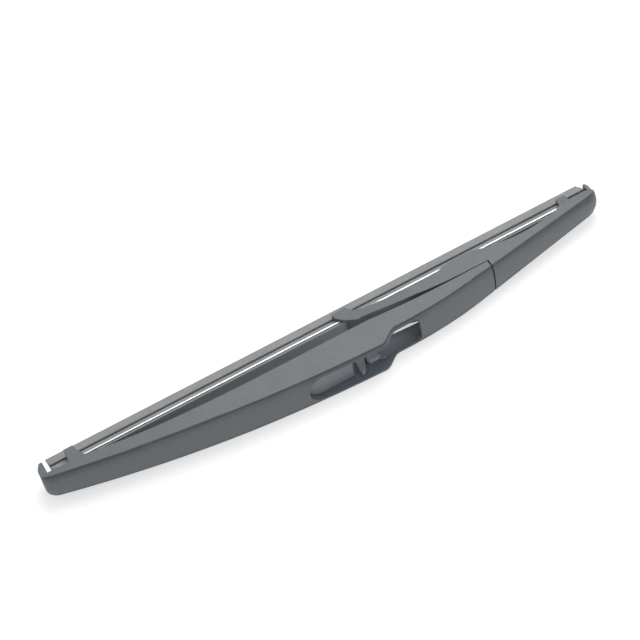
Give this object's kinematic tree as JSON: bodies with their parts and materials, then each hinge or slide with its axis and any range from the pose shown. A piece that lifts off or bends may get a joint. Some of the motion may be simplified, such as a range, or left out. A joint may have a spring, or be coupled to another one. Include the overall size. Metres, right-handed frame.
{
  "type": "wiper blade",
  "caption": "Rear window wiper blade: arched moulded frame with an open arm pocket, a rocking yoke along one half, and claws that hold a rubber wiping edge on spring strips.",
  "frame": {"origin": "on the axis that the blade swings about on its arm, in the blade's middle plane", "axes": "+X along the blade towards the yoke's free end, +Y towards the wiping edge, +Z square to the middle plane; the blade lies on its flat side, so the floor is at z = -0.0102"},
  "size_m": [0.3046, 0.0396, 0.0204],
  "materials": {
    "frame_plastic": "fine moulded grain",
    "clip_plastic": "smooth moulding",
    "blade_rubber": "matte with a thin bloom",
    "strip_steel": "rolled bright"
  },
  "bodies": {
    "frame": {"bridge_frame": "frame_plastic", "rubber_blade": "blade_rubber", "spring_strip_upper": "strip_steel", "spring_strip_lower": "strip_steel"},
    "yoke": {"yoke": "frame_plastic"},
    "clip": {"arm_clip": "clip_plastic"}
  },
  "joints": [
    {"name": "yoke_pivot", "type": "hinge", "parent": "frame", "child": "yoke", "pos_m": [0.0588, 0.0111, 0], "axis": [0, 0, 1], "range_deg": [-3, 2.5], "deforming": ["rubber_blade", "spring_strip_upper", "spring_strip_lower"]},
    {"name": "clip_pivot", "type": "hinge", "parent": "frame", "child": "clip", "pos_m": [0, 0, 0], "axis": [0, 0, 1], "range_deg": [-4, 4]}
  ]
}
